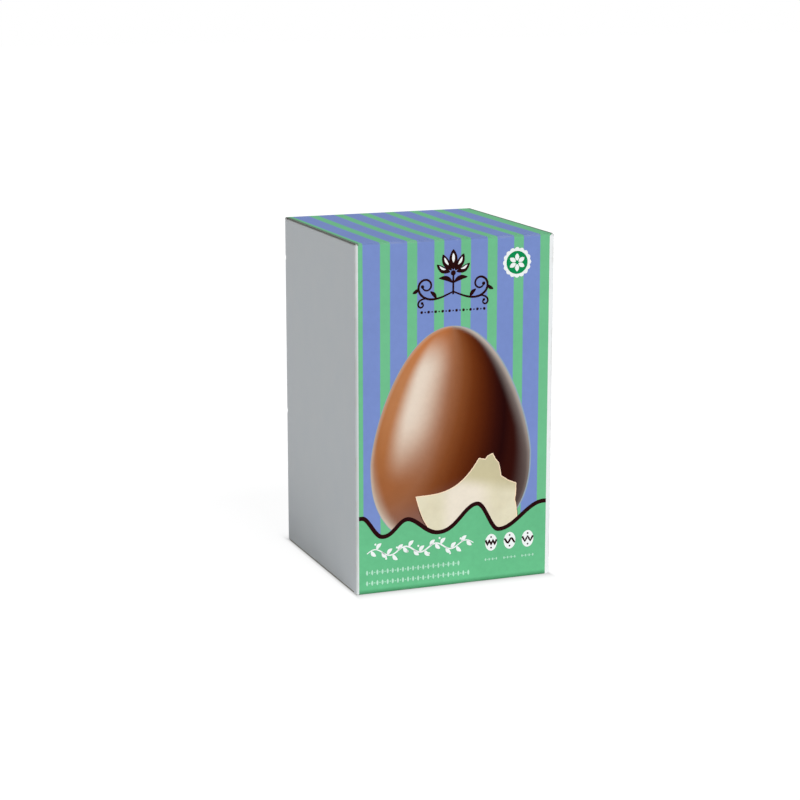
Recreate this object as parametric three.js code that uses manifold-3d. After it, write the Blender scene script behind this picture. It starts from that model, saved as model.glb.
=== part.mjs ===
// A folding carton of coated board, shut and standing on its base: the pack of a boxed chocolate egg.
//
// One sheet is creased into four walls and glued at the rear left corner. The lid and the base are
// flaps of the front wall: each folds back over the two side walls' dust flaps and tucks in behind
// the rear wall. The outside is therefore what three outlines have in common, one seen from above,
// one from the front and one from the side, and each outline is four corners of three kinds.
//
// Frame: millimetres, +Z up, the printed front faces -Y, the origin is the middle of the base.

import * as THREE from 'three';
import { mergeVertices } from 'three/addons/utils/BufferGeometryUtils.js';
import Module from 'manifold-3d';

const wasm = await Module();
wasm.setup();

// Driving dimensions
const WIDTH = 120; // across the printed front, along X
const DEPTH = 124; // front to rear, along Y
const HEIGHT = 200; // base to lid, along Z
const BOARD = 0.5; // thickness of the board
const CREASE_RADIUS = 1.4; // outer radius of a creased fold
const GLUED_INSET = 0.9; // how far the rear wall's cut edge stays in from the wall that it covers
const LID_INSET = 0.55; // how far the lid's and the base's cut edges stay in from the side walls
const LID_GAP = 0.15; // slit between a side wall's crease and the lid or the base that laps it
const TUCK_GAP = 0.3; // slit between the rear wall and a flap that tucks in behind it
const REAR_DROP = 0.3; // how far the rear wall's cut edges stay back from the lid and the base
const ARC_STEPS = 8; // straight pieces in a quarter turn of a fold

// Each corner is listed in a frame of its own: the corner point is (0, 0), the board lies at
// negative u and v, and the points run from the wall at u = 0 round to the panel at v = 0.

function arc(centreU, centreV, fromAngle, toAngle) {
  const points = [];
  for (let step = 0; step <= ARC_STEPS; step += 1) {
    const angle = THREE.MathUtils.lerp(fromAngle, toAngle, step / ARC_STEPS);
    const u = centreU + CREASE_RADIUS * Math.cos(angle);
    const v = centreV + CREASE_RADIUS * Math.sin(angle);
    points.push([u, v]);
  }
  return points;
}

// Wall and panel are one piece of board, creased.
function foldedCorner() {
  return arc(-CREASE_RADIUS, -CREASE_RADIUS, 0, Math.PI / 2);
}

// The wall's own crease runs under the panel, whose cut edge stops a little short of it.
function lappedCorner(inset, gap) {
  const edgeAngle = Math.acos(1 - inset / CREASE_RADIUS);
  const crease = arc(-CREASE_RADIUS, -BOARD - gap - CREASE_RADIUS, 0, edgeAngle);
  return [...crease, [-inset, 0]];
}

function lidCorner() {
  return lappedCorner(LID_INSET, LID_GAP);
}

// Glue holds the rear wall tight against its flap.
function gluedCorner() {
  return lappedCorner(GLUED_INSET, 0);
}

// The wall ends in a cut edge, and the panel's flap turns down behind it.
function tuckedCorner() {
  const flap = -BOARD - TUCK_GAP;
  return [
    [0, -REAR_DROP],
    [-BOARD, -REAR_DROP],
    [-BOARD, -CREASE_RADIUS],
    ...arc(flap - CREASE_RADIUS, -CREASE_RADIUS, 0, Math.PI / 2),
  ];
}

// Corners are given anticlockwise from the one at +u, +v. A corner moved to a side where it is
// mirrored once has its points reversed, so that the outline keeps its direction.
function outline(sizeU, sizeV, corners) {
  const sides = [[1, 1], [-1, 1], [-1, -1], [1, -1]];
  const points = corners.flatMap((corner, index) => {
    const [sideU, sideV] = sides[index];
    const placed = corner().map(([u, v]) => new THREE.Vector2(
      sideU * (sizeU / 2 + u),
      sideV * (sizeV / 2 + v),
    ));
    return sideU * sideV > 0 ? placed : placed.reverse();
  });
  return new THREE.Shape(points);
}

const X = new THREE.Vector3(1, 0, 0);
const Y = new THREE.Vector3(0, 1, 0);
const Z = new THREE.Vector3(0, 0, 1);

// The outline's u and v go along axisU and axisV, and it is extruded along the axis square to both.
function prism(shape, length, axisU, axisV) {
  const geometry = new THREE.ExtrudeGeometry(shape, { depth: length, bevelEnabled: false });
  const axisOut = new THREE.Vector3().crossVectors(axisU, axisV);
  geometry.translate(0, 0, -length / 2);
  geometry.applyMatrix4(new THREE.Matrix4().makeBasis(axisU, axisV, axisOut));
  geometry.translate(0, 0, HEIGHT / 2);
  return geometry;
}

function toSolid(geometry) {
  const bare = geometry.clone();
  bare.deleteAttribute('normal');
  bare.deleteAttribute('uv');
  const merged = mergeVertices(bare);
  return new wasm.Manifold(new wasm.Mesh({
    numProp: 3,
    vertProperties: new Float32Array(merged.attributes.position.array),
    triVerts: new Uint32Array(merged.index.array),
  }));
}

function toGeometry(solid) {
  const mesh = solid.getMesh();
  const geometry = new THREE.BufferGeometry();
  geometry.setAttribute('position', new THREE.BufferAttribute(mesh.vertProperties, 3));
  geometry.setIndex(new THREE.BufferAttribute(mesh.triVerts, 1));
  geometry.computeVertexNormals();
  return geometry;
}

// From above: the rear wall's cut edge laps the glue flap at the rear left corner.
const plan = outline(WIDTH, DEPTH, [foldedCorner, gluedCorner, foldedCorner, foldedCorner]);

// From the front: the lid and the base lap the dust flaps of both side walls.
const front = outline(WIDTH, HEIGHT, [lidCorner, lidCorner, lidCorner, lidCorner]);

// From the side, u is +Y: the lid and the base fold off the front wall and tuck in at the rear.
const side = outline(DEPTH, HEIGHT, [tuckedCorner, foldedCorner, foldedCorner, tuckedCorner]);

const walls = toSolid(prism(plan, HEIGHT, X, Y));
const sideCreases = toSolid(prism(front, DEPTH, X, Z));
const frontFolds = toSolid(prism(side, WIDTH, Y, Z));
const shutCarton = walls.intersect(sideCreases).intersect(frontFolds);

const coatedBoard = new THREE.MeshStandardMaterial({
  color: new THREE.Color(0.86, 0.87, 0.86),
  roughness: 0.45,
  metalness: 0,
});

const carton = new THREE.Mesh(toGeometry(shutCarton), coatedBoard);
carton.name = 'carton';

const group = new THREE.Group();
group.add(carton);

export default group;
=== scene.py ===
# A shut folding carton of white board, printed for a boxed chocolate egg: striped front and lid,
# a picture of the egg behind a wavy green band, and plain side and rear walls.
#
# Metres, +Z up. The printed front faces -Y and the base stands on z = 0.

import bmesh
import bpy
import numpy as np
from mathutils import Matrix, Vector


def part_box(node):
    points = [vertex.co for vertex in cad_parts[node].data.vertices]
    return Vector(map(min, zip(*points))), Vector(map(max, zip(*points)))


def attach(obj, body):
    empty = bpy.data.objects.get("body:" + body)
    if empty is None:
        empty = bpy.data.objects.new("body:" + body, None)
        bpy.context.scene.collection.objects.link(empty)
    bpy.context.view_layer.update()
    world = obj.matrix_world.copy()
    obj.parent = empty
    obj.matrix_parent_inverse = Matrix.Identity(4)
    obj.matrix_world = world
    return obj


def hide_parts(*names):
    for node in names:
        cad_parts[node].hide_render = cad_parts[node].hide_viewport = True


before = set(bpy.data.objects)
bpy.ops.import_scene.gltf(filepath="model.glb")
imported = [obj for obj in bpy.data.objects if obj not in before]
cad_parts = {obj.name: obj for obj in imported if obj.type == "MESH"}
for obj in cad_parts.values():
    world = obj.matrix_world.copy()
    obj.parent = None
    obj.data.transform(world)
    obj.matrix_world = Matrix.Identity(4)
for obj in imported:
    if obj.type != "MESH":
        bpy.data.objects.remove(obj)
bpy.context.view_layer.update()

# ---------------------------------------------------------------------------------------------
# The carton. One sheet of white lined board is die cut, creased, wrapped into four walls and
# glued over a flap at the rear left corner. The lid and the base fold off the front wall over
# the side walls' dust flaps, and each tucks in behind the rear wall.

thickness = 0.00045
crease_radius = 0.0014
fold_steps = 8
lap_steps = 2  # steps of each corner fold beside the front that its strip takes in
lid_inset = 0.0005  # how far the lid's and the base's cut edges stay in from the side walls
ink_room = 0.00015  # the board stays this far inside the carton's size, which leaves the inks room
tuck_gap = 0.0003
lid_gap = 0.00015  # slit between a side wall's crease and the lid over it
rear_drop = 0.0003  # how far the rear wall's cut edges stay back from the lid and the base
glue_gap = 0.00002
tuck_length = 0.014
glue_flap_width = 0.014
glue_flap_stop = 0.018  # the glue flap ends this far from the lid and the base
dust_flap_length = 0.036
dust_flap_slope = 0.03  # the dust flaps hang a little into the carton
dust_flap_trim = 4  # stations left out at each end of a side wall, where its flap is cut narrower
panel_steps = 40  # steps of the mesh across a panel
height_steps = 64  # steps up a wall, besides those at the nicks and the flaps
flap_steps = 4
dust_flap_steps = 11
side_hollow = 0.0004  # how far the middle of a panel bows in
front_hollow = 0.0002
lid_hollow = 0.0005
nick_heights = (0.0818, 0.1756)  # two knocks on the glued corner
nick_depth = 0.0006
nick_size = 0.0009
cool_white = (0.815, 0.830, 0.835, 1)
warm_white = (0.855, 0.860, 0.855, 1)
# painted shade beside the front's left crease
crease_shade_grey = (0.44, 0.48, 0.48, 1)
scuff_brown = (0.60, 0.57, 0.52, 1)
# painted shade under the lid's edges
seam_shade = (0.20, 0.21, 0.20, 1)
raw_dark = (0.52, 0.49, 0.43, 1)
raw_pale = (0.62, 0.59, 0.53, 1)
cut_dark = (0.42, 0.40, 0.35, 1)
cut_pale = (0.54, 0.51, 0.45, 1)
# painted shade on the cut edges high up, by the lid
seam_shaded_cut_dark = (0.23, 0.22, 0.19, 1)
seam_shaded_cut_pale = (0.33, 0.31, 0.27, 1)

_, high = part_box("carton")
half_width = high.x - ink_room
half_depth = high.y - ink_room
top = high.z - ink_room
fold_angle = np.pi / 2 / fold_steps
lap_inset = crease_radius * (1 - np.sin(lap_steps * fold_angle))
crease_top = top - thickness - lid_gap  # highest point of a side wall
flap_start = crease_top - crease_radius  # where a side wall begins to bend into its dust flap


def graded(length, steps):
    """Stations from 0 to length that crowd towards both ends: the length times half of one minus
    the cosine of the step's share of half a turn."""
    return length * (1 - np.cos(np.pi * np.arange(steps + 1) / steps)) / 2


def creased_path(start, heading, turn, legs):
    """The board seen edge on: points, outward normals, distance along, and a slice for each leg.

    A leg is a straight run given by its stations, and a quarter fold stands between two legs. A
    point is the running sum of step length times (cosine, sine) of the step's heading. A fold's
    steps are equal chords of its arc. Outward is the heading turned a quarter against the folds."""
    chord = 2 * crease_radius * np.sin(fold_angle / 2)
    lengths, headings, advances, facings, slices = [[0.0]], [[heading]], [[0.0]], [[heading]], []
    count = 1
    for number, stations in enumerate(legs):
        if number:
            turned = turn * fold_angle * np.arange(fold_steps + 1)
            lengths.append(np.full(fold_steps, chord))
            headings.append(heading + (turned[1:] + turned[:-1]) / 2)
            advances.append(np.full(fold_steps, crease_radius * fold_angle))
            facings.append(heading + turned[1:])
            heading += turned[-1]
            count += fold_steps
        runs = np.diff(stations)
        lengths.append(runs)
        headings.append(np.full(len(runs), heading))
        advances.append(runs)
        facings.append(np.full(len(runs), heading))
        slices.append(slice(count - 1, count + len(runs)))
        count += len(runs)
    lengths, headings, advances, facings = map(np.concatenate, (lengths, headings, advances, facings))
    steps = lengths[:, None] * np.stack([np.cos(headings), np.sin(headings)], axis=1)
    away = facings - turn * np.pi / 2
    outward = np.stack([np.cos(away), np.sin(away)], axis=1)
    return np.array(start) + np.cumsum(steps, axis=0), outward, np.cumsum(advances), slices


def bowed(along, bows):
    """How far a path's panels bow in: on each panel, its depth times the sine of the share of the
    panel gone by, times half a turn. Folds stay put."""
    hollow = np.zeros(len(along))
    for panel, depth in bows:
        run = along[panel] - along[panel][0]
        hollow[panel] = depth * np.sin(np.pi * run / run[-1])
    return hollow


# From above, as (x, y): glue flap, left wall, front, right wall, rear wall.
glue_plane = half_depth - thickness - glue_gap
girth, girth_out, girth_along, (glue_leg, left_leg, front_leg, right_leg, rear_leg) = creased_path(
    start=(crease_radius + glue_flap_width - half_width, glue_plane),
    heading=np.pi,
    turn=1,
    legs=[
        np.linspace(0, glue_flap_width, flap_steps + 1),
        graded(glue_plane + half_depth - 2 * crease_radius, panel_steps),
        graded(2 * half_width - 2 * crease_radius, panel_steps),
        graded(2 * half_depth - 2 * crease_radius, panel_steps),
        graded(2 * half_width - crease_radius - lap_inset, panel_steps),
    ],
)
girth_hollow = bowed(girth_along, [(leg, side_hollow) for leg in (left_leg, right_leg, rear_leg)])
knocked = girth_along[left_leg][0] - crease_radius * np.pi / 7  # where the glued corner is knocked

# From the side, as (y, z): base tuck, base, front, lid, lid tuck. The front's stations serve all
# four walls, so they hold the heights where the dust flaps and the glue flap begin.
around_nicks = [height + nick_size * np.linspace(-2, 2, 9) for height in nick_heights]
wall_rows = np.unique(np.round(np.concatenate([
    crease_radius + graded(top - 2 * crease_radius, height_steps),
    [flap_start, top - flap_start, glue_flap_stop, top - glue_flap_stop],
    *around_nicks,
]), 8))
tuck_plane = half_depth - thickness - tuck_gap
strip, strip_out, strip_along, (_, base_leg, wall_leg, lid_leg, _) = creased_path(
    start=(tuck_plane, crease_radius + tuck_length),
    heading=-np.pi / 2,
    turn=-1,
    legs=[
        np.linspace(0, tuck_length, flap_steps + 1),
        graded(tuck_plane + half_depth - 2 * crease_radius, panel_steps),
        wall_rows - crease_radius,
        graded(tuck_plane + half_depth - 2 * crease_radius, panel_steps),
        np.linspace(0, tuck_length, flap_steps + 1),
    ],
)
strip_rise = strip_along - strip_along[wall_leg][0] + crease_radius  # equals z on the front
strip_hollow = bowed(strip_along, [(wall_leg, front_hollow), (lid_leg, lid_hollow)])
panel_ends = [base_leg.stop - 1, wall_leg.start, wall_leg.stop - 1, lid_leg.start]
front_share = np.interp(strip_rise, strip_rise[panel_ends], [0, 1, 1, 0])  # 0 on the lid and the base


def on_front(x, rise, lift=0.0):
    """Places on the strip of base, front and lid: x across it, rise up the front and on over the
    lid, lift outwards. y and z come from the strip's side view. The panel sinks by its hollow
    times a cosine across it, and the front sinks near its sides by the round of the corner folds."""
    x, rise = np.broadcast_arrays(x, rise)
    y, z, out_y, out_z, hollow, creased = (
        np.interp(rise, strip_rise, values)
        for values in (*strip.T, *strip_out.T, strip_hollow, front_share)
    )
    flat = half_width - crease_radius
    across = np.clip(np.abs(x) / flat, 0, 1)
    past = np.maximum(np.abs(x) - flat, 0)
    rounded = creased * (crease_radius - np.sqrt(crease_radius**2 - past**2))
    sunk = hollow * np.cos(across * np.pi / 2) + rounded
    return np.stack([x, y + out_y * (lift - sunk), z + out_z * (lift - sunk)], axis=-1)


def on_walls(columns, rows):
    """Places on the upright walls: the girth's points at the heights in rows, drawn in by the
    wall's hollow times a sine of the height, and by a bell-shaped dent at each nick."""
    share = np.clip((rows - top + flap_start) / (2 * flap_start - top), 0, 1)
    sunk = girth_hollow[columns, None] * np.sin(np.pi * share)
    aside = (girth_along[columns, None] - knocked) / nick_size
    for height in nick_heights:
        sunk = sunk + nick_depth * np.exp(-aside**2 - ((rows - height) / nick_size) ** 2)
    x, y = (girth[columns, axis, None] - sunk * girth_out[columns, axis, None] for axis in (0, 1))
    return np.stack([x, y, np.broadcast_to(rows, x.shape)], axis=-1)


def dust_flap(columns, at_lid):
    """A side wall's flap: its crease, then a straight run that slopes gently into the carton. The
    flap at the base is the same turned over, and its points run towards the wall."""
    legs = [[0.0], np.linspace(0, dust_flap_length, dust_flap_steps + 1)]
    profile = creased_path((0.0, flap_start), np.pi / 2, -1, legs)[0]
    run = profile[:, 0]
    rise = profile[:, 1] - dust_flap_slope * np.maximum(run - crease_radius, 0)
    if not at_lid:
        run = run[::-1]
        rise = top - rise[::-1]
    x, y = (girth[columns, axis, None] - run * girth_out[columns, axis, None] for axis in (0, 1))
    return np.stack([x, y, np.broadcast_to(rise, x.shape)], axis=-1)


def joined_mesh(name, grids, **attributes):
    """One mesh of grids of points, where corners (i, j), (i + 1, j), (i + 1, j + 1), (i, j + 1) of
    a grid make a face. Points in one place are merged, which closes seams, rings and tips."""
    faces = []
    first = 0
    for grid in grids:
        index = first + np.arange(grid.shape[0] * grid.shape[1]).reshape(grid.shape[:2])
        corners = (index[:-1, :-1], index[1:, :-1], index[1:, 1:], index[:-1, 1:])
        faces.append(np.stack(corners, axis=-1).reshape(-1, 4))
        first += index.size
    mesh = bpy.data.meshes.new(name)
    points = np.concatenate([grid.reshape(-1, 3) for grid in grids])
    mesh.from_pydata(points.tolist(), [], np.concatenate(faces).tolist())
    for key, values in attributes.items():
        mesh.attributes.new(key, "FLOAT", "POINT").data.foreach_set("value", np.ravel(values))
    merged = bmesh.new()
    merged.from_mesh(mesh)
    bmesh.ops.remove_doubles(merged, verts=merged.verts, dist=1e-6)
    merged.to_mesh(mesh)
    merged.free()
    mesh.shade_smooth()
    return mesh


def carton_piece(name, mesh, slot, *materials):
    """An object of the carton that rides with it and takes these materials. Its slot is not used."""
    piece = bpy.data.objects.new(name, mesh)
    bpy.context.scene.collection.objects.link(piece)
    for material in materials:
        mesh.materials.append(material)
    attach(piece, "root")
    return piece


def shader_node(tree, kind, inputs=None, **settings):
    """Adds a node. Inputs maps a socket's name or number to its value, or to the output it takes."""
    made = tree.nodes.new(kind)
    for key, value in settings.items():
        setattr(made, key, value)
    for key, value in (inputs or {}).items():
        if isinstance(value, bpy.types.NodeSocket):
            tree.links.new(value, made.inputs[key])
        else:
            made.inputs[key].default_value = value
    return made


def calc(tree, operation, *values, kind="Math"):
    """The output of a Math or a VectorMath node with these values or outputs as its inputs."""
    inputs = dict(enumerate(values))
    return shader_node(tree, "ShaderNode" + kind, inputs, operation=operation).outputs[0]


def times(tree, first, second):
    """The product of two values or outputs."""
    return calc(tree, "MULTIPLY", first, second)


def object_place(tree):
    """Where a point of the piece lies, in metres."""
    return shader_node(tree, "ShaderNodeTexCoord").outputs["Object"]


def parts(tree, vector):
    """The x, y and z of a vector."""
    return shader_node(tree, "ShaderNodeSeparateXYZ", {0: vector}).outputs


def eased(tree, value, low, high):
    """A mask that rises smoothly from 0 where the value is low to 1 where it is high."""
    settings = {"Value": value, "From Min": low, "From Max": high}
    node = shader_node(tree, "ShaderNodeMapRange", settings, interpolation_type="SMOOTHSTEP")
    return node.outputs["Result"]


def noise(tree, place, scale, detail=2.0):
    """Noise from 0 to 1 with this many waves to a metre."""
    settings = {"Vector": place, "Scale": scale, "Detail": detail}
    return shader_node(tree, "ShaderNodeTexNoise", settings).outputs["Fac"]


def mixed(tree, share, first, second):
    """A colour between the first and the second."""
    settings = {"Factor": share, "A": first, "B": second}
    node = tree.nodes.new("ShaderNodeMix")
    node.data_type = "RGBA"
    for socket in node.inputs:
        if socket.enabled and socket.name in settings:
            value = settings[socket.name]
            if isinstance(value, bpy.types.NodeSocket):
                tree.links.new(value, socket)
            else:
                socket.default_value = value
    return next(socket for socket in node.outputs if socket.enabled)


def new_group(name, inputs, outputs):
    """An empty shader node group with named sockets: its tree, its inputs and its output node."""
    tree = bpy.data.node_groups.new(name, "ShaderNodeTree")
    for label, kind, value in inputs:
        tree.interface.new_socket(label, in_out="INPUT", socket_type=kind).default_value = value
    for label, kind in outputs:
        tree.interface.new_socket(label, in_out="OUTPUT", socket_type=kind)
    return tree, tree.nodes.new("NodeGroupInput").outputs, tree.nodes.new("NodeGroupOutput").inputs


# Board grain: the fine skin of the coating, the fibres under it and broad clouds in the sheet.
grain, grain_in, grain_out = new_group(
    "board_grain",
    [("Scale", "NodeSocketFloat", 1.0)],
    [("Relief", "NodeSocketFloat"), ("Clouds", "NodeSocketFloat")],
)
sizing = {0: object_place(grain), "Scale": grain_in["Scale"]}
scaled = shader_node(grain, "ShaderNodeVectorMath", sizing, operation="SCALE").outputs[0]
along_fibres = shader_node(grain, "ShaderNodeMapping", {"Vector": scaled, "Scale": (1, 1, 0.3)}).outputs[0]
skin = noise(grain, scaled, 900)
fibres = noise(grain, along_fibres, 520, 4)
clouds = noise(grain, scaled, 55, 3)
grain.links.new(calc(grain, "MULTIPLY_ADD", fibres, 0.7, skin), grain_out["Relief"])
grain.links.new(calc(grain, "MULTIPLY_ADD", clouds, 2.0, -0.5), grain_out["Clouds"])


def board_grain(tree, scale):
    """The grain's relief and clouds, made this many times finer."""
    return shader_node(tree, "ShaderNodeGroup", {"Scale": scale}, node_tree=grain).outputs


# Edge rub: scuffs that crowd along the edges of a block. Of the distances from a point to the
# three pairs of faces, the smallest is nought, and the middle one is how far the next edge is.
rub, rub_in, rub_out = new_group(
    "edge_rub",
    [("Centre", "NodeSocketVector", (0, 0, 0)), ("Half Size", "NodeSocketVector", (1, 1, 1)),
     ("Reach", "NodeSocketFloat", 0.002)],
    [("Rub", "NodeSocketFloat")],
)
place = object_place(rub)
offset = calc(rub, "SUBTRACT", place, rub_in["Centre"], kind="VectorMath")
apart = calc(rub, "ABSOLUTE", offset, kind="VectorMath")
room = calc(rub, "SUBTRACT", rub_in["Half Size"], apart, kind="VectorMath")
room_x, room_y, room_z = parts(rub, room)
lesser = calc(rub, "MINIMUM", room_x, room_y)
greater = calc(rub, "MAXIMUM", room_x, room_y)
to_edge = calc(rub, "MAXIMUM", lesser, calc(rub, "MINIMUM", greater, room_z))
uneven = times(rub, calc(rub, "SUBTRACT", noise(rub, place, 240, 4), 0.35), rub_in["Reach"])
uneven_distance = calc(rub, "MULTIPLY_ADD", uneven, -3.0, to_edge)
near_edge = eased(rub, uneven_distance, rub_in["Reach"], 0.0)
patchy = eased(rub, noise(rub, place, 70, 2), 0.42, 0.62)
rub.links.new(times(rub, near_edge, patchy), rub_out["Rub"])


def rubbed_edges(tree, reach):
    """The carton's own edge rub, as a mask."""
    sizes = {"Centre": (0, 0, top / 2), "Half Size": (half_width, half_depth, top / 2), "Reach": reach}
    return shader_node(tree, "ShaderNodeGroup", sizes, node_tree=rub).outputs["Rub"]


def new_material(name):
    """A material, with its node tree and the inputs of its Principled BSDF."""
    material = bpy.data.materials.new(name)
    material.use_nodes = True
    return material, material.node_tree, material.node_tree.nodes["Principled BSDF"].inputs


def finish(tree, surface, color, roughness, relief, depth, gloss=0.3):
    """Links a surface's colour, roughness and relief, and sets how strongly it mirrors. Depth is
    the relief's height in metres."""
    surface["Specular IOR Level"].default_value = gloss
    normal = shader_node(tree, "ShaderNodeBump", {"Height": relief, "Distance": depth}).outputs["Normal"]
    for socket, value in (("Base Color", color), ("Roughness", roughness), ("Normal", normal)):
        tree.links.new(value, surface[socket])


board, tree, surface = new_material("coated_board")
sheet = board_grain(tree, 1.0)
white = mixed(tree, sheet["Clouds"], cool_white, warm_white)
x, y, z = parts(tree, object_place(tree))
# Painted shade on the white margin beside the front's left crease, deeper between about 35 mm and 150 mm up.
beside_left_crease = times(tree, eased(tree, x, -0.050, -0.055), eased(tree, y, -0.0610, -0.0615))
low_down = times(tree, eased(tree, z, 0.180, 0.150), eased(tree, z, 0.015, 0.035))
greyed = calc(tree, "MULTIPLY_ADD", low_down, 0.30, 0.24)
shade_and_wear = mixed(tree, times(tree, beside_left_crease, greyed), white, crease_shade_grey)
scuffed = mixed(tree, times(tree, rubbed_edges(tree, 0.0011), 0.35), shade_and_wear, scuff_brown)
# Painted shade on the side walls' creases, under the lid's edges.
at_side = eased(tree, calc(tree, "ABSOLUTE", x), half_width - 0.0024, half_width - 0.0018)
under_lid = times(tree, at_side, eased(tree, z, top - 0.0016, top - 0.0007))
finish(tree, surface, mixed(tree, times(tree, under_lid, 0.4), scuffed, seam_shade),
       calc(tree, "MULTIPLY_ADD", sheet["Clouds"], 0.10, 0.38), sheet["Relief"], 0.000006)

raw_inside, tree, surface = new_material("unlined_inside")
sheet = board_grain(tree, 0.6)
finish(tree, surface, mixed(tree, sheet["Clouds"], raw_dark, raw_pale),
       calc(tree, "MULTIPLY_ADD", sheet["Clouds"], 0.08, 0.78), sheet["Relief"], 0.00002)

cut_edge, tree, surface = new_material("cut_board_edge")
sheet = board_grain(tree, 1.6)
height = parts(tree, object_place(tree))["Z"]
unshaded_cut = mixed(tree, sheet["Clouds"], cut_dark, cut_pale)
# Painted shade: the cut edges darken from 0.12 m up, fully from 0.16 m, so the lid's seam reads dark.
seam_shaded_cut = mixed(tree, sheet["Clouds"], seam_shaded_cut_dark, seam_shaded_cut_pale)
finish(tree, surface, mixed(tree, eased(tree, height, 0.12, 0.16), unshaded_cut, seam_shaded_cut),
       calc(tree, "MULTIPLY_ADD", sheet["Clouds"], 0.06, 0.84), sheet["Relief"], 0.00003)


def columns_between(first, last):
    """The numbers of the girth's points from the first to the last, both taken in."""
    return np.arange(first, last + 1)


tiny = 1e-7  # slack where stations are compared, and a guard where a slope is nought
lower_rows = wall_rows[(wall_rows > top - flap_start - tiny) & (wall_rows < flap_start + tiny)]
glue_rows = wall_rows[(wall_rows > glue_flap_stop - tiny) & (wall_rows < top - glue_flap_stop + tiny)]
post_rows = np.append(wall_rows[wall_rows > flap_start - tiny], crease_top)
rear_rows = np.append(post_rows, top - rear_drop)
lid_columns = columns_between(front_leg.start - lap_steps, front_leg.stop - 1 + lap_steps)
left_columns = columns_between(glue_leg.stop - 1, lid_columns[0])
right_columns = columns_between(lid_columns[-1], len(girth) - 1)
rear_columns = columns_between(rear_leg.start, len(girth) - 1)
left_flap = columns_between(left_leg.start + dust_flap_trim, left_leg.stop - 1 - dust_flap_trim)
right_flap = columns_between(right_leg.start + dust_flap_trim, right_leg.stop - 1 - dust_flap_trim)
strip_reach = 1 + (lap_inset - lid_inset) / (half_width - lap_inset) * (1 - front_share)
posts = [
    columns_between(left_columns[0], left_flap[0]),
    columns_between(left_flap[-1], left_columns[-1]),
    columns_between(right_columns[0], right_flap[0]),
    columns_between(right_flap[-1], rear_columns[0]),
]
board_grids = [
    on_front(girth[lid_columns, 0][:, None] * strip_reach, strip_rise[None, :]),
    on_walls(left_columns, lower_rows),
    on_walls(right_columns, lower_rows),
    on_walls(columns_between(0, left_columns[0]), glue_rows),
    on_walls(rear_columns, rear_rows),
    on_walls(rear_columns, top - rear_rows[::-1]),
]
for post in posts:
    board_grids += [on_walls(post, post_rows), on_walls(post, top - post_rows[::-1])]
for flap in (left_flap, right_flap):
    board_grids += [dust_flap(flap, at_lid=True), dust_flap(flap, at_lid=False)]

carton_board = carton_piece(
    "carton_board", joined_mesh("carton_board", board_grids), "coated_board", board, raw_inside, cut_edge)
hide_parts("carton")
walls = carton_board.modifiers.new("board_thickness", "SOLIDIFY")
walls.thickness = thickness
walls.offset = -1
walls.material_offset = 1
walls.material_offset_rim = 2
solid = bpy.data.meshes.new_from_object(carton_board.evaluated_get(bpy.context.evaluated_depsgraph_get()))
carton_board.modifiers.clear()
carton_board.data = solid
solid.set_sharp_from_angle(angle=np.radians(30))

# ---------------------------------------------------------------------------------------------
# The stripes. Lavender and green inks are printed side by side in one pass and sealed with a thin
# varnish. They run up the front, over the fold and along the lid. On the front they stop short of
# both upright creases, where the white board shows, and on the lid they reach its cut edges.

mm = 0.001
ink_step = 0.00003  # from one layer of print to the next
print_left = -58.2 * mm
print_right = 56.9 * mm
lid_reach = half_width - lid_inset - 0.05 * mm  # half width of the print on the lid
print_foot = -0.3 * mm  # the print ends on the fold under the front
stripe_pitch = 16.08 * mm
green_width = 5.9 * mm
first_green = -58.5 * mm  # middle of the leftmost green stripe
wave_x = np.array([-56.3, -43.8, -29.0, -10.3, 13.6, 27.4, 55.4]) * mm
wave_z = np.array([44.7, 32.9, 41.7, 32.2, 46.7, 30.3, 44.5]) * mm
wave_lag = np.array([0.9, 1.1, 0.9, 1.2, 1.0, 1.0])  # above 1, a span sets off slowly
stripe_level = 50 * mm  # above the whole wave: from here up a stripe keeps to the board's stations
crack_white = (0.75, 0.76, 0.74, 1)
# painted shade along the lid's cut sides
cut_side_shade_grey = (0.12, 0.14, 0.12, 1)
bared_board = (0.78, 0.79, 0.77, 1)


def wave(x):
    """Height of the wave that parts stripes and band: from each crest or trough to the next it
    goes by half a cosine turn of the way along, to the power of the span's lag. It is level beyond
    the outer ones."""
    number = np.clip(np.searchsorted(wave_x, x) - 1, 0, len(wave_x) - 2)
    share = np.clip((x - wave_x[number]) / (wave_x[number + 1] - wave_x[number]), 0, 1) ** wave_lag[number]
    return wave_z[number] + (wave_z[number + 1] - wave_z[number]) * (1 - np.cos(np.pi * share)) / 2


def screen(red, green, blue):
    """Linear light of a colour given by screen levels from 0 to 255: the level's share, plus
    0.055, over 1.055, to the power 2.4."""
    return (*(((level / 255 + 0.055) / 1.055) ** 2.4 for level in (red, green, blue)), 1.0)


def printed(name, shapes, layer, slot, material):
    """A piece of print. Its shapes are grids of (x, rise) on the front. A shape whose cells turn
    clockwise is reversed, so that all face out, and the layer sets how far it lies off the board."""
    grids = []
    for flat in shapes:
        along = np.diff(flat, axis=0)[:, :-1]
        across = np.diff(flat, axis=1)[:-1]
        turning = (along[..., 0] * across[..., 1] - along[..., 1] * across[..., 0]).sum()
        facing = flat if turning > 0 else flat[::-1]
        grids.append(on_front(facing[..., 0], facing[..., 1], layer * ink_step))
    return carton_piece(name, joined_mesh(name, grids), slot, material)


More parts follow.
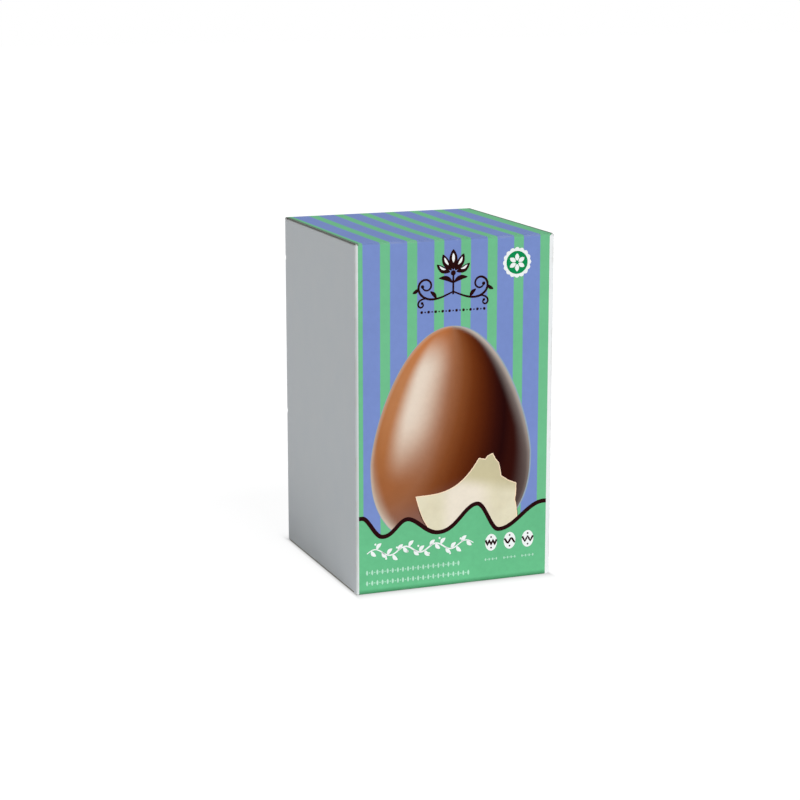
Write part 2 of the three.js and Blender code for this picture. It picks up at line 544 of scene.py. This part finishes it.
# How an ink lies: slightly uneven in density, dulled where the fibres show through, with a few
# pale cracks along the fold from the front to the lid, and darkened by painted shade along that
# fold and along the lid's cut sides.
lay, lay_in, lay_out = new_group(
    "ink_lay",
    [("Ink", "NodeSocketColor", (0.5, 0.5, 0.5, 1)), ("Unevenness", "NodeSocketFloat", 0.06),
     ("Fold", "NodeSocketVector", (0, 0, 0)), ("Cut Side", "NodeSocketFloat", 1.0)],
    [("Color", "NodeSocketColor"), ("Roughness", "NodeSocketFloat"), ("Relief", "NodeSocketFloat")],
)
place = object_place(lay)
sheet = board_grain(lay, 1.0)
density = calc(lay, "ADD", noise(lay, place, 330, 4), times(lay, sheet["Clouds"], 0.6))
swing = times(lay, calc(lay, "SUBTRACT", density, 0.8), lay_in["Unevenness"])
from_fold = calc(lay, "SUBTRACT", place, lay_in["Fold"], kind="VectorMath")
across, back, up = parts(lay, from_fold)
squares = calc(lay, "ADD", times(lay, back, back), times(lay, up, up))
distance = calc(lay, "SQRT", squares)
on_fold = eased(lay, distance, 0.0014, 0.0006)
inside_cut = calc(lay, "SUBTRACT", lay_in["Cut Side"], calc(lay, "ABSOLUTE", across))
# Painted shade along the lid's cut sides.
cut_side_shade = times(lay, eased(lay, inside_cut, 0.0020, 0.0013), eased(lay, up, -0.0013, -0.0009))
# Painted shade darkens the ink along the fold from the front to the lid.
brightness = calc(lay, "SUBTRACT", calc(lay, "ADD", swing, 1.0), times(lay, on_fold, 0.24))
shaded = shader_node(lay, "ShaderNodeVectorMath", {0: lay_in["Ink"], "Scale": brightness}, operation="SCALE")
streaks = shader_node(lay, "ShaderNodeMapping", {"Vector": place, "Scale": (0.35, 1, 1)}).outputs[0]
cracks = times(lay, on_fold, eased(lay, noise(lay, streaks, 1500, 3), 0.60, 0.70))
cracked = mixed(lay, times(lay, cracks, 0.10), shaded.outputs[0], crack_white)
cut_side_shaded = mixed(lay, times(lay, cut_side_shade, 0.8), cracked, cut_side_shade_grey)
lay.links.new(cut_side_shaded, lay_out["Color"])
lay.links.new(calc(lay, "MULTIPLY_ADD", density, 0.08, 0.34), lay_out["Roughness"])
lay.links.new(sheet["Relief"], lay_out["Relief"])


def laid(tree, surface, color, unevenness):
    """Finishes a surface as ink: laid unevenly, rubbed thin along the carton's edges."""
    settings = {"Ink": color, "Unevenness": unevenness, "Fold": (0, -half_depth, top),
                "Cut Side": half_width - lid_inset}
    film = shader_node(tree, "ShaderNodeGroup", settings, node_tree=lay).outputs
    shade_and_wear = times(tree, rubbed_edges(tree, 0.0009), 0.08)
    finish(tree, surface, mixed(tree, shade_and_wear, film["Color"], bared_board),
           film["Roughness"], film["Relief"], 0.000005, gloss=0.03)


def ink(name, color, unevenness=0.10):
    """A plain printed colour."""
    material, tree, surface = new_material(name)
    laid(tree, surface, color, unevenness)
    return material


def stripe(left, right, steps):
    """A stripe as a grid of (x, rise): from the wave by even shares up to a level line, then on by
    the board's own stations up the front and along the lid, over its rear fold. A stripe at an
    edge of the print widens over the fold, by the lid's share of it, until it meets the cut edge."""
    x = np.linspace(left, right, steps + 1)
    end = strip_rise[lid_leg][-1] + crease_radius * np.pi / 2
    above = strip_rise[(strip_rise > stripe_level + tiny) & (strip_rise < end + tiny)]
    foot = wave(x)[:, None] + (stripe_level - wave(x)[:, None]) * np.linspace(0, 1, 7)
    rise = np.concatenate([foot, np.broadcast_to(above, (len(x), len(above)))], axis=1)
    way = np.linspace(0, 1, steps + 1)
    widening = (left <= print_left) * (1 - way) * (-lid_reach - print_left)
    widening += (right >= print_right) * way * (lid_reach - print_right)
    lid_share = 1 - np.interp(rise, strip_rise, front_share)
    return np.stack([x[:, None] + widening[:, None] * lid_share, rise], axis=-1)


green_middles = first_green + stripe_pitch * np.arange(8)
green_lefts = np.clip(green_middles - green_width / 2, print_left, print_right)
green_rights = np.clip(green_middles + green_width / 2, print_left, print_right)
lavender_ink = ink("lavender_ink", screen(121, 141, 199))
green_ink = ink("green_ink", screen(111, 188, 139))
printed("lavender_stripes", [stripe(*sides, 10) for sides in zip(green_rights[:-1], green_lefts[1:])],
        1, "lavender_ink", lavender_ink)
printed("green_stripes", [stripe(*sides, 5) for sides in zip(green_lefts, green_rights)],
        1, "green_ink", green_ink)

# ---------------------------------------------------------------------------------------------
# The band and its wave. The same green ink fills the foot of the front below the wave, and a
# thick line of dark brown ink follows the wave from one edge of the print to the other.

line_width = 2.4 * mm
band_x = np.linspace(print_left, print_right, 97)
band_fold = strip_rise[(strip_rise > print_foot) & (strip_rise < crease_radius + tiny)]
band_rise = crease_radius + (wave(band_x)[:, None] - crease_radius) * np.linspace(0, 1, 21)[1:]
band_rise = np.concatenate([np.broadcast_to(band_fold, (len(band_x), len(band_fold))), band_rise], axis=1)
band_green_ink, tree, surface = new_material("band_green_ink")
height = parts(tree, object_place(tree))["Z"]
# Painted shade along the foot of the front, darkening the green towards the floor.
painted_foot_shade = times(tree, eased(tree, height, 0.0035, 0.0004), 0.75)
laid(tree, surface, mixed(tree, painted_foot_shade, screen(104, 187, 136), screen(52, 118, 76)), 0.14)
printed("green_band", [np.stack(np.broadcast_arrays(band_x[:, None], band_rise), axis=-1)],
        1, "green_ink", band_green_ink)


def wave_ribbon(steps):
    """The line as a grid of (x, rise). Its upright half thickness is half its width times the root
    of one plus the wave's slope squared, which keeps it even where the wave is steep."""
    x = np.linspace(print_left, print_right, steps + 1)
    half = line_width / 2 * np.sqrt(1 + np.gradient(wave(x), x) ** 2)
    rise = wave(x)[:, None] + half[:, None] * np.array([-1, 0, 1])
    return np.stack(np.broadcast_arrays(x[:, None], rise), axis=-1)


brown_ink = ink("brown_ink", screen(40, 10, 12), 0.3)
printed("wave_line", [wave_ribbon(240)], 4, "brown_ink", brown_ink)

# ---------------------------------------------------------------------------------------------
# The picture of the egg: a smooth milk chocolate egg lit from the upper left, with a long soft
# window light on it and a grey reflection along its right edge, printed down to the wave. Its
# outline fades into a soft light fringe, and a thin pale ring of ink shows outside it.

egg_x = -2.4 * mm
egg_half = 48.7 * mm
egg_widest = 74.4 * mm
egg_rise = 76.4 * mm  # from the widest level up to the tip
egg_drop = 52 * mm  # from the widest level down to the foot
egg_power = 1.44
egg_low_power = 2.6
light_from = np.array([-1.48, -1.0, 1.04])
upright_level = 78 * mm  # where the egg's side is shaded as upright
lean_span = 86 * mm  # from there to where it would be shaded as level
mask_level = 90 * mm  # the masks' edges are set out in spans above and below this level
mask_span = 50 * mm
fringe_side = np.array([0.55, 0.835])  # the fringe is strongest where the outline faces this way
tip_side = np.array([0, 1])
ring_overlap = 0.4 * mm  # how far the ring goes in under the picture
chocolate_levels = ((49, 12, 6), (36, 4, 3), (51, 12, 5), (70, 23, 6), (90, 36, 10), (108, 50, 18),
                    (129, 70, 35), (150, 94, 62), (158, 95, 55), (168, 105, 61), (186, 123, 79))
tip_warmth = screen(223, 127, 64)
window_light = screen(229, 211, 193)
grey_reflection = screen(137, 126, 121)
foot_veil = screen(148, 130, 129)
edge_haze = screen(198, 177, 159)
fringe_light = screen(218, 203, 189)


def egg_upper(x):
    """Top of the outline: the rise times one minus the squared share of the half width, to one
    over the egg's power."""
    return egg_widest + egg_rise * np.maximum(1 - ((x - egg_x) / egg_half) ** 2, 0) ** (1 / egg_power)


def egg_lower(x):
    """Foot of the outline, in the same way with the drop and the lower power."""
    return egg_widest - egg_drop * np.maximum(1 - ((x - egg_x) / egg_half) ** 2, 0) ** (1 / egg_low_power)


def egg_girth(z):
    """Half width of the egg at a height: the root of one minus the share of the height to the
    egg's power."""
    above = z > egg_widest
    share = np.clip(np.abs(z - egg_widest) / np.where(above, egg_rise, egg_drop), 0, 1)
    return np.maximum(egg_half * np.sqrt(1 - share ** np.where(above, egg_power, egg_low_power)), 1e-5)


def smooth(value, middle, width):
    """A rise from 0 to 1 of this width about the middle: three squares less two cubes of the share."""
    share = np.clip((value - middle) / width + 0.5, 0, 1)
    return share * share * (3 - 2 * share)


def egg_depth(x, z):
    """How far inside the outline a place is, and which way the nearest outline faces: the outline
    equation's value over the length of its slope, and the slope's direction."""
    above = z > egg_widest
    extent = np.where(above, egg_rise, -egg_drop)
    power = np.where(above, egg_power, egg_low_power)
    across = (x - egg_x) / egg_half
    share = np.abs((z - egg_widest) / extent)
    slope = np.stack([2 * across / egg_half, power * share ** (power - 1) / extent], axis=-1)
    steepness = np.linalg.norm(slope, axis=-1) + tiny
    return (1 - across**2 - share**power) / steepness, slope / steepness[..., None]


def turned_to(outward, side, power):
    """How squarely the outline faces a side: the cosine between the two, nought where it faces
    away, to this power."""
    return np.maximum(outward @ side, 0) ** power


def egg_shading(x, z):
    """Seven masks of the picture. Lit is a round normal, which leans up by the share of the height,
    times the light's direction. Gloss rises at the window's left side, falls slowly from its right
    side, and fades out upwards and downwards. Rim rises towards the right edge, and is broader and
    fainter low down. Haze rises towards the lower left edge, and veil towards the foot, left of
    the break. Fringe rises towards the outline. It is strongest, broadest and most peaked at the
    upper right, and narrowest at the tip. Warmth rises towards the tip, on the left."""
    turn = np.clip((x - egg_x) / egg_girth(z), -1, 1)
    lean = np.clip((z - upright_level) / lean_span, -0.98, 0.98)
    level = np.sqrt(1 - lean**2)
    normal = np.stack([turn * level, -np.sqrt(1 - turn**2) * level, lean], axis=-1)
    lit = normal @ (light_from / np.linalg.norm(light_from))
    up = (z - mask_level) / mask_span
    gloss = smooth(turn, -0.728 + 0.044 * up, 0.249)
    gloss *= 1 - smooth(turn, -0.346 + 0.208 * up - 0.04 * up**2, 0.552 + 0.088 * up)
    gloss *= smooth(z, 80.8 * mm, 43.8 * mm) * (1 - smooth(z, 137.5 * mm, 23.8 * mm))
    above = np.maximum(up, 0)
    below = np.maximum(-up, 0)
    rim = smooth(turn, 0.93 - 0.075 * above + 0.025 * below, 0.229 + 0.25 * below) * (1 - 0.55 * below)
    haze = smooth(-turn, 1.052 + 0.142 * up, 0.224) * (1 - smooth(z, 115 * mm, 10 * mm))
    veil = (1 - smooth(z, (52 + 12 * turn) * mm, 24 * mm)) * (1 - smooth(turn, 0.3, 0.6))
    depth, outward = egg_depth(x, z)
    facing = turned_to(outward, fringe_side, 3)
    width = (2.4 + 1.8 * facing - 1.65 * turned_to(outward, tip_side, 12)) * mm
    strength = 0.21 - 0.11 * outward[..., 0] + 0.48 * facing
    fringe = strength * (1 - smooth(depth, width / 2, width)) ** (1 + 0.7 * facing)
    warmth = smooth(z, 130 * mm, 24 * mm) * (1 - smooth(turn, -0.1, 0.8))
    return lit, gloss, rim, haze, veil, fringe, warmth


def ramp(tree, value, colors):
    """A colour ramp through these colours at even steps."""
    node = shader_node(tree, "ShaderNodeValToRGB", {"Fac": value})
    elements = node.color_ramp.elements
    while len(elements) < len(colors):
        elements.new(1.0)
    for element, position, color in zip(elements, np.linspace(0, 1, len(colors)), colors):
        element.position = position
        element.color = color
    return node.outputs["Color"]


def picked(tree, name):
    """A mask that the piece's mesh carries."""
    return shader_node(tree, "ShaderNodeAttribute", attribute_name=name).outputs["Fac"]


egg_x_stations = egg_x + egg_half * np.sin(np.linspace(-np.pi / 2, np.pi / 2, 73))
egg_low = np.maximum(egg_lower(egg_x_stations), np.minimum(wave(egg_x_stations), egg_upper(egg_x_stations)))
egg_z = egg_low[:, None] + (egg_upper(egg_x_stations) - egg_low)[:, None] * np.linspace(0, 1, 97)
egg_grid_x, egg_grid_z = np.broadcast_arrays(egg_x_stations[:, None], egg_z)
lit, gloss, rim, haze, veil, fringe, warmth = egg_shading(egg_grid_x, egg_grid_z)

chocolate, tree, surface = new_material("chocolate_picture")
lit_share = calc(tree, "MULTIPLY_ADD", picked(tree, "lit"), 1 / 1.2, 0.2 / 1.2)  # 0 where lit is -0.2
body = ramp(tree, lit_share, [screen(*levels) for levels in chocolate_levels])
warmed = mixed(tree, times(tree, picked(tree, "warmth"), 0.24), body, tip_warmth)
glossy = mixed(tree, picked(tree, "gloss"), warmed, window_light)
edged = mixed(tree, picked(tree, "rim"), glossy, grey_reflection)
veiled = mixed(tree, times(tree, picked(tree, "veil"), 0.4), edged, foot_veil)
hazed = mixed(tree, picked(tree, "haze"), veiled, edge_haze)
fringed = mixed(tree, picked(tree, "fringe"), hazed, fringe_light)
laid(tree, surface, fringed, 0.10)
egg_places = on_front(egg_grid_x, egg_grid_z, 2 * ink_step)
egg_mesh = joined_mesh("egg_picture", [egg_places], lit=lit, gloss=gloss, rim=rim, haze=haze, veil=veil,
                       fringe=fringe, warmth=warmth)
carton_piece("egg_picture", egg_mesh, "egg_print", chocolate)

# The pale ring, from under the picture's edge to a little outside it, as far down as the wave.
round_egg = np.linspace(-2.5, 2.5, 401)  # from the tip, where a quarter turn is the widest level
outline_x = egg_x + egg_half * np.sin(round_egg)
outline_z = np.where(np.abs(round_egg) < np.pi / 2, egg_upper(outline_x), egg_lower(outline_x))
shown = outline_z > wave(outline_x)
outline = np.stack([outline_x, outline_z], axis=-1)[shown]
outward = egg_depth(outline[:, 0], outline[:, 1])[1]
ring_reach = (0.55 + 0.25 * outward[:, 0] - 0.35 * turned_to(outward, tip_side, 12)) * mm
ring = np.stack([outline - outward * ring_overlap, outline + outward * ring_reach[:, None]], axis=1)
pale_ring_ink = ink("pale_ring_ink", screen(150, 166, 178))
printed("egg_ring", [ring], 1.5, "egg_print", pale_ring_ink)

# ---------------------------------------------------------------------------------------------
# The broken shell. Low on the egg a ragged piece of the shell is missing and the cream lining of
# the far side shows. It is printed in cream, with a thin peach line along the break and a thin
# brown shadow outside its two sides.

sweep = np.linspace(0, 1, 30)
break_sweep = np.stack([-23.9 + 38.6 * sweep, 54.2 + 19.1 * sweep**3.25], axis=1)
break_peaks = [(16.4, 72.8), (18.8, 72.3), (19.9, 74.1), (23.1, 75.4), (24.7, 72.2), (26.9, 69.6),
               (27.8, 65.4), (28.4, 61.8), (32.8, 58.8), (37.8, 56.7)]
break_left = [(-16.3, 35.5), (-19.4, 40.6), (-21.4, 45.6), (-22.4, 49.0), (-23.9, 54.2)]
break_right = [(38.6, 38.0), (38.0, 43.3), (37.1, 47.0), (37.7, 50.5), (37.8, 56.7)]
break_roughness = 0.07 * mm


def ragged(points, steps, size, seed):
    """A broken edge: places at even steps along the path through the points, each knocked aside at
    random by up to this size, but not its ends."""
    points = np.asarray(points) * mm
    run = np.concatenate([[0], np.cumsum(np.linalg.norm(np.diff(points, axis=0), axis=1))])
    along = np.linspace(0, run[-1], steps + 1)
    path = np.stack([np.interp(along, run, points[:, axis]) for axis in (0, 1)], axis=1)
    path[1:-1] += np.random.default_rng(seed).uniform(-size, size, (steps - 1, 2))
    return path


def patch(foot, crown, left, right):
    """The Coons patch between four edges: the blend from foot to crown plus the blend from left to
    right, less the blend of the four corners."""
    across = np.linspace(0, 1, len(foot))[:, None, None]
    up = np.linspace(0, 1, len(left))[None, :, None]
    upwards = foot[:, None] * (1 - up) + crown[:, None] * up
    sideways = left[None] * (1 - across) + right[None] * across
    low_corners = foot[0] * (1 - across) + foot[-1] * across
    high_corners = crown[0] * (1 - across) + crown[-1] * across
    return upwards + sideways - low_corners * (1 - up) - high_corners * up


def stroke(points, width, taper=0.0):
    """A line of print as a grid: the points' path with its edges half the width to either side.
    A tapered line thins towards its ends by that share of a sine of the way along."""
    points = np.asarray(points, float)
    heading = np.gradient(points, axis=0)
    heading /= np.linalg.norm(heading, axis=1)[:, None]
    side = np.stack([-heading[:, 1], heading[:, 0]], axis=1)
    way = np.linspace(0, np.pi, len(points))
    half = width / 2 * (1 - taper + taper * np.sin(way))
    return points[:, None, :] + side[:, None, :] * half[:, None, None] * np.array([-1, 0, 1])[:, None]


crown_break = ragged(np.concatenate([break_sweep, break_peaks]), 150, break_roughness, 3)
left_break = ragged(break_left, 24, break_roughness, 5)
right_break = ragged(break_right, 24, break_roughness, 7)
foot_x = np.linspace(left_break[0, 0], right_break[0, 0], len(crown_break))
opening_foot = np.stack([foot_x, wave(foot_x)], axis=1)
left_break[0], right_break[0] = opening_foot[0], opening_foot[-1]

cream_ink, tree, surface = new_material("cream_ink")
place = object_place(tree)
x, _, z = parts(tree, place)
lining = mixed(tree, noise(tree, place, 90, 3), screen(219, 208, 178), screen(231, 223, 196))
towards_middle = times(tree, eased(tree, x, -0.011, -0.001), eased(tree, x, 0.026, 0.012))
pinkish = mixed(tree, towards_middle, lining, screen(234, 222, 204))
shaded_part = eased(tree, calc(tree, "MULTIPLY_ADD", x, 0.2, z), 0.0565, 0.0665)
laid(tree, surface, mixed(tree, shaded_part, pinkish, screen(202, 191, 154)), 0.12)
printed("broken_shell", [patch(opening_foot, crown_break, left_break, right_break)],
        3, "cream_ink", cream_ink)

shell_edge_ink = ink("shell_edge_ink", screen(249, 222, 190), 0.2)
break_line = np.concatenate([left_break, crown_break[1:], right_break[-2::-1]])
printed("shell_edge", [stroke(break_line, 0.55 * mm)], 3.5, "cream_ink", shell_edge_ink)

shadow_ink = ink("shell_shadow_ink", screen(70, 34, 20), 0.2)
shell_shadows = [stroke(left_break[:18] - (0.45 * mm, 0), 0.8 * mm, 0.7),
                 stroke(right_break[:23] + (0.4 * mm, 0), 0.5 * mm, 0.5)]
printed("shell_shadow", shell_shadows, 2.5, "brown_ink", shadow_ink)

# ---------------------------------------------------------------------------------------------
# The ornaments: a brown flower over a scroll and a row of dots, a white and green rosette, a
# white vine over two pale rows of lozenges and dots, and three small white eggs, each over a short
# pale row. All are flat printed shapes.


def blade(root, tip, width, bend=0.0, steps=12):
    """A leaf or petal as a grid: its midline bends aside by a sine of the way along, and its half
    width is half the width times the sine to the power 0.75."""
    root, tip = np.asarray(root, float), np.asarray(tip, float)
    way = np.linspace(0, 1, steps + 1)
    ahead = tip - root
    side = np.array([-ahead[1], ahead[0]]) / np.linalg.norm(ahead)
    swell = np.sin(np.pi * way)
    middle = root + ahead * way[:, None] + side * (bend * swell)[:, None]
    half = width / 2 * np.maximum(swell, 0) ** 0.75
    return middle[:, None, :] + side * half[:, None, None] * np.array([-1, 0, 1])[:, None]


def disc(middle, radius, lobes=0, depth=0.0, stretch=1.0, steps=48):
    """A disc as a grid of rings. Its radius swells by the depth times the size of a cosine that
    makes the lobes, and it is stretched upwards."""
    angle = np.linspace(0, 2 * np.pi, steps + 1)
    reach = radius * (1 - depth + depth * np.abs(np.cos(lobes * angle / 2))) if lobes else radius + 0 * angle
    rings = reach[:, None] * np.array([1, 0.5, 0])
    x = middle[0] + rings * np.cos(angle)[:, None]
    return np.stack([x, middle[1] + stretch * rings * np.sin(angle)[:, None]], axis=-1)


def around(middle, radius, degrees):
    """The point at this angle, from the x axis towards up, and radius."""
    return np.asarray(middle) + radius * np.array([np.cos(np.radians(degrees)), np.sin(np.radians(degrees))])


def mirrored(shapes, axis):
    """The shapes and their mirrored twins across an upright line."""
    return shapes + [np.stack([2 * axis - shape[..., 0], shape[..., 1]], axis=-1) for shape in shapes]


def curl(start, heading, turn, length, steps=64, power=3.0):
    """A line whose heading turns by this many degrees in all, by the power of the way along."""
    way = np.linspace(0, 1, steps + 1)
    angle = np.radians(heading + turn * ((way[1:] + way[:-1]) / 2) ** power)
    step = length / steps * np.stack([np.cos(angle), np.sin(angle)], axis=1)
    return np.asarray(start, float) + np.concatenate([[(0, 0)], np.cumsum(step, axis=0)])


white_ink = ink("white_ink", screen(240, 242, 240), 0.05)
deep_green_ink = ink("deep_green_ink", screen(12, 138, 78), 0.16)

# The flower: five petals fan out from one root, each with a white heart, over a stem, two leaves
# and a scroll of two long curls with a shorter curl and two leaves on each, and a row of dots.
flower_axis = -1.8 * mm
flower_root = np.array([flower_axis, 180.4 * mm])
petal_fan = ((90, 13.8, 5.0, 0), (60, 12.8, 4.2, -0.6), (120, 12.8, 4.2, 0.6), (29, 11.4, 3.6, -1),
             (151, 11.4, 3.6, 1))
petals = []
hearts = []
for angle, reach, width, bend in petal_fan:
    tip = around(flower_root, reach * mm, angle)
    petals.append(blade(around(flower_root, 2 * mm, angle), tip, width * mm, bend * mm))
    heart_root = around(flower_root, 0.45 * reach * mm, angle)
    heart_tip = around(flower_root, 0.84 * reach * mm, angle)
    hearts.append(blade(heart_root, heart_tip, 0.34 * width * mm, 0.5 * bend * mm))
scroll_foot = flower_root - (0, 10 * mm)
stem = stroke([flower_root, flower_root - (0, 5.8 * mm), flower_root - (0, 11.6 * mm)], 1.1 * mm)
calyx = disc(flower_root + (0, 0.4 * mm), 1.5 * mm, steps=20)
leaf_root = flower_root - (0, 5.2 * mm)
long_curl = curl(scroll_foot, -24, 470, 45 * mm, steps=80, power=2.4)
short_curl = curl(long_curl[30], -4, -330, 12.5 * mm, steps=40, power=2.0)
scroll = mirrored([
    blade(leaf_root, leaf_root + np.array([8.8, 3.0]) * mm, 2.7 * mm, 1.3 * mm),
    stroke(long_curl, 1.3 * mm, 0.35),
    disc(long_curl[-1], 1.0 * mm, steps=16),
    stroke(short_curl, 1.05 * mm, 0.3),
    disc(short_curl[-1], 0.8 * mm, steps=14),
    blade(long_curl[19], long_curl[19] + np.array([3.8, 4.4]) * mm, 2.2 * mm, 0.5 * mm),
    blade(long_curl[44], long_curl[44] + np.array([3.6, -2.6]) * mm, 2.0 * mm, -0.4 * mm),
], flower_axis)
dots = [disc((x * mm, 159.6 * mm), radius * mm, steps=14)
        for x, radius in zip(np.linspace(-20.7, 17.1, 19), np.tile([0.8, 0.45], 10))]
printed("flower_and_scroll", petals + [calyx, stem] + scroll + dots, 3, "brown_ink", brown_ink)
printed("petal_hearts", hearts, 4, "white_ink", white_ink)

# The rosette: a scalloped white ring, a green disc and six petals.
rosette = np.array([36.9, 184.6]) * mm
printed("rosette_ring", [disc(rosette, 8.7 * mm, 16, 0.09, steps=128)], 2, "white_ink", white_ink)
printed("rosette_disc", [disc(rosette, 6.5 * mm)], 3, "deep_green_ink", deep_green_ink)
rosette_petals = [blade(around(rosette, 0.9 * mm, angle), around(rosette, 5.1 * mm, angle), 2.5 * mm)
                  for angle in range(30, 390, 60)]
printed("rosette_flower", rosette_petals, 4, "white_ink", white_ink)

# The vine: a waving stem with leaves to either side in turn and a bud between each two.
vine_way = np.linspace(0, 1, 161)
vine_line = np.stack([-53.5 + 65 * vine_way, 23.8 + 2.1 * np.sin(7 * np.pi * vine_way)], axis=1) * mm
vine = [stroke(vine_line, 0.9 * mm, 0.4)]
for number, knot in enumerate(range(6, 156, 8)):
    up = 1 if number % 2 else -1
    lean = np.array([3.0, 3.5 * up]) * mm
    vine.append(blade(vine_line[knot], vine_line[knot] + lean, 2.2 * mm, 0.45 * mm * up))
for number, knot in enumerate(range(10, 140, 16)):
    up = 1 if number % 2 else -1
    vine.append(disc(vine_line[knot] + np.array([1.0, -3.0 * up]) * mm, 0.62 * mm, steps=12))
printed("vine", vine, 2, "white_ink", white_ink)


def row(first, last, z, pitch, height, width):
    """Upright lozenges at even steps, with a dot between each two."""
    middles = np.arange(first, last, pitch)
    lozenges = [blade((x * mm, (z - height / 2) * mm), (x * mm, (z + height / 2) * mm), width * mm, steps=6)
                for x in middles]
    return lozenges + [disc(((x + pitch / 2) * mm, z * mm), 0.3 * width * mm, steps=8) for x in middles[:-1]]


# Two rows of lozenges and dots under the vine, and a short one under each of the small eggs.
pale_green_ink = ink("pale_green_ink", screen(178, 221, 196), 0.2)
egg_middles = (22.6, 34.2, 45.6)
rows = row(-53.5, 3.5, 12.6, 3.1, 3.2, 1.3) + row(-53.5, 11, 6.4, 3.1, 3.2, 1.3)
for middle_x in egg_middles:
    rows += row(middle_x - 3.4, middle_x + 3.6, 12.8, 2.27, 1.7, 0.9)
printed("rows", rows, 2, "white_ink", pale_green_ink)

# The three small eggs, each with a band of its own.
small_eggs = []
small_bands = []
half_band = 3.4
for middle_x, teeth in zip(egg_middles, (3, 0, 2)):
    middle = np.array([middle_x, 22.8]) * mm
    small_eggs.append(disc(middle, 3.7 * mm, stretch=1.35, steps=32))
    band_x = np.linspace(-half_band, half_band, 4 * teeth + 1 if teeth else 17)
    zigzag = 1.5 * np.abs(np.arange(len(band_x)) % 4 - 2) - 1.5
    band_z = zigzag if teeth else 1.3 * np.sin(1.5 * np.pi * band_x / half_band)
    small_bands.append(stroke(middle + np.stack([band_x, band_z], axis=1) * mm, 1.15 * mm))
    small_bands += [disc(middle + np.array([0, rise]) * mm, 0.55 * mm, steps=10) for rise in (-3.2, 3.2)]
printed("small_eggs", small_eggs, 2, "white_ink", white_ink)
printed("small_egg_bands", small_bands, 3, "brown_ink", brown_ink)

# ---------------------------------------------------------------------------------------------
# Floor, light and camera. A pale floor that glows a little keeps the shadows faint, a broad soft
# key stands high in front, a little to the right, and everything beyond the floor is white.

floor_size = 12.0
contact_reach = 0.0008  # the dark rim round the carton's foot halves over this distance
floor_mesh = bpy.data.meshes.new("floor")
corners = floor_size / 2 * np.array([(-1, -1, 0), (1, -1, 0), (1, 1, 0), (-1, 1, 0)])
floor_mesh.from_pydata(corners.tolist(), [], [(0, 1, 2, 3)])
floor_material, tree, surface = new_material("pale_floor")
place = object_place(tree)
step = place
for operation, operand in (("ABSOLUTE", (0, 0, 0)), ("SUBTRACT", (half_width, half_depth, 1)),
                           ("MAXIMUM", (0, 0, 0)), ("MULTIPLY", (1, 0.25, 0))):
    step = calc(tree, operation, step, operand, kind="VectorMath")
distance = shader_node(tree, "ShaderNodeVectorMath", {0: step}, operation="LENGTH").outputs["Value"]
# Painted contact shadow: near the carton's foot the floor's glow is dimmed for the camera, and raised as
# painted light in what it bounces onto the carton.
contact = calc(tree, "POWER", 0.5, calc(tree, "DIVIDE", distance, contact_reach))
seen = shader_node(tree, "ShaderNodeLightPath").outputs["Is Camera Ray"]
paint = mixed(tree, noise(tree, place, 3), (0.58, 0.60, 0.62, 1), (0.62, 0.64, 0.66, 1))
tree.links.new(mixed(tree, seen, paint, (0.11, 0.11, 0.11, 1)), surface["Base Color"])
seen_glow = calc(tree, "MULTIPLY_ADD", contact, -0.37, 0.95)
bounced_glow = calc(tree, "MULTIPLY_ADD", contact, 0.30, 0.08)
glow = shader_node(tree, "ShaderNodeMix", {0: seen, 2: bounced_glow, 3: seen_glow}).outputs[0]
tree.links.new(glow, surface["Emission Strength"])
surface["Roughness"].default_value = 0.9
surface["Specular IOR Level"].default_value = 0.0
surface["Emission Color"].default_value = (1, 1, 1, 1)
floor_mesh.materials.append(floor_material)
floor = bpy.data.objects.new("floor", floor_mesh)
bpy.context.scene.collection.objects.link(floor)

key = bpy.data.lights.new("key", "SUN")
key.angle = np.radians(24)
key_direction = np.array([0.14, -0.56, 0.71])
key.energy = np.pi * np.linalg.norm(key_direction)
key_lamp = bpy.data.objects.new("key", key)
bpy.context.scene.collection.objects.link(key_lamp)
key_tilt = np.arccos(key_direction[2] / np.linalg.norm(key_direction))
key_lamp.rotation_euler = (key_tilt, 0, np.arctan2(key_direction[0], -key_direction[1]))

world = bpy.data.worlds.new("surroundings")
world.use_nodes = True
tree = world.node_tree
seen = shader_node(tree, "ShaderNodeLightPath").outputs["Is Camera Ray"]
sky = mixed(tree, seen, (0.237, 0.246, 0.251, 1), (1, 1, 1, 1))
tree.links.new(sky, tree.nodes["Background"].inputs["Color"])
bpy.context.scene.world = world
bpy.context.scene.view_settings.view_transform = "Standard"

camera_aim = np.array([-9.68, 0, 96.55]) * mm
camera_distance = 1256.7 * mm
camera_turn = np.radians(21.13)  # from straight in front, towards the left wall
camera_rise = np.radians(12.30)
camera = bpy.data.objects.new("camera", bpy.data.cameras.new("camera"))
camera.data.lens = 95.99
camera.data.sensor_width = 36
camera.location = camera_aim + camera_distance * np.array([
    -np.sin(camera_turn) * np.cos(camera_rise),
    -np.cos(camera_turn) * np.cos(camera_rise),
    np.sin(camera_rise),
])
camera.rotation_euler = (np.pi / 2 - camera_rise, 0, -camera_turn)
bpy.context.scene.collection.objects.link(camera)
bpy.context.scene.camera = camera

bpy.context.view_layer.update()
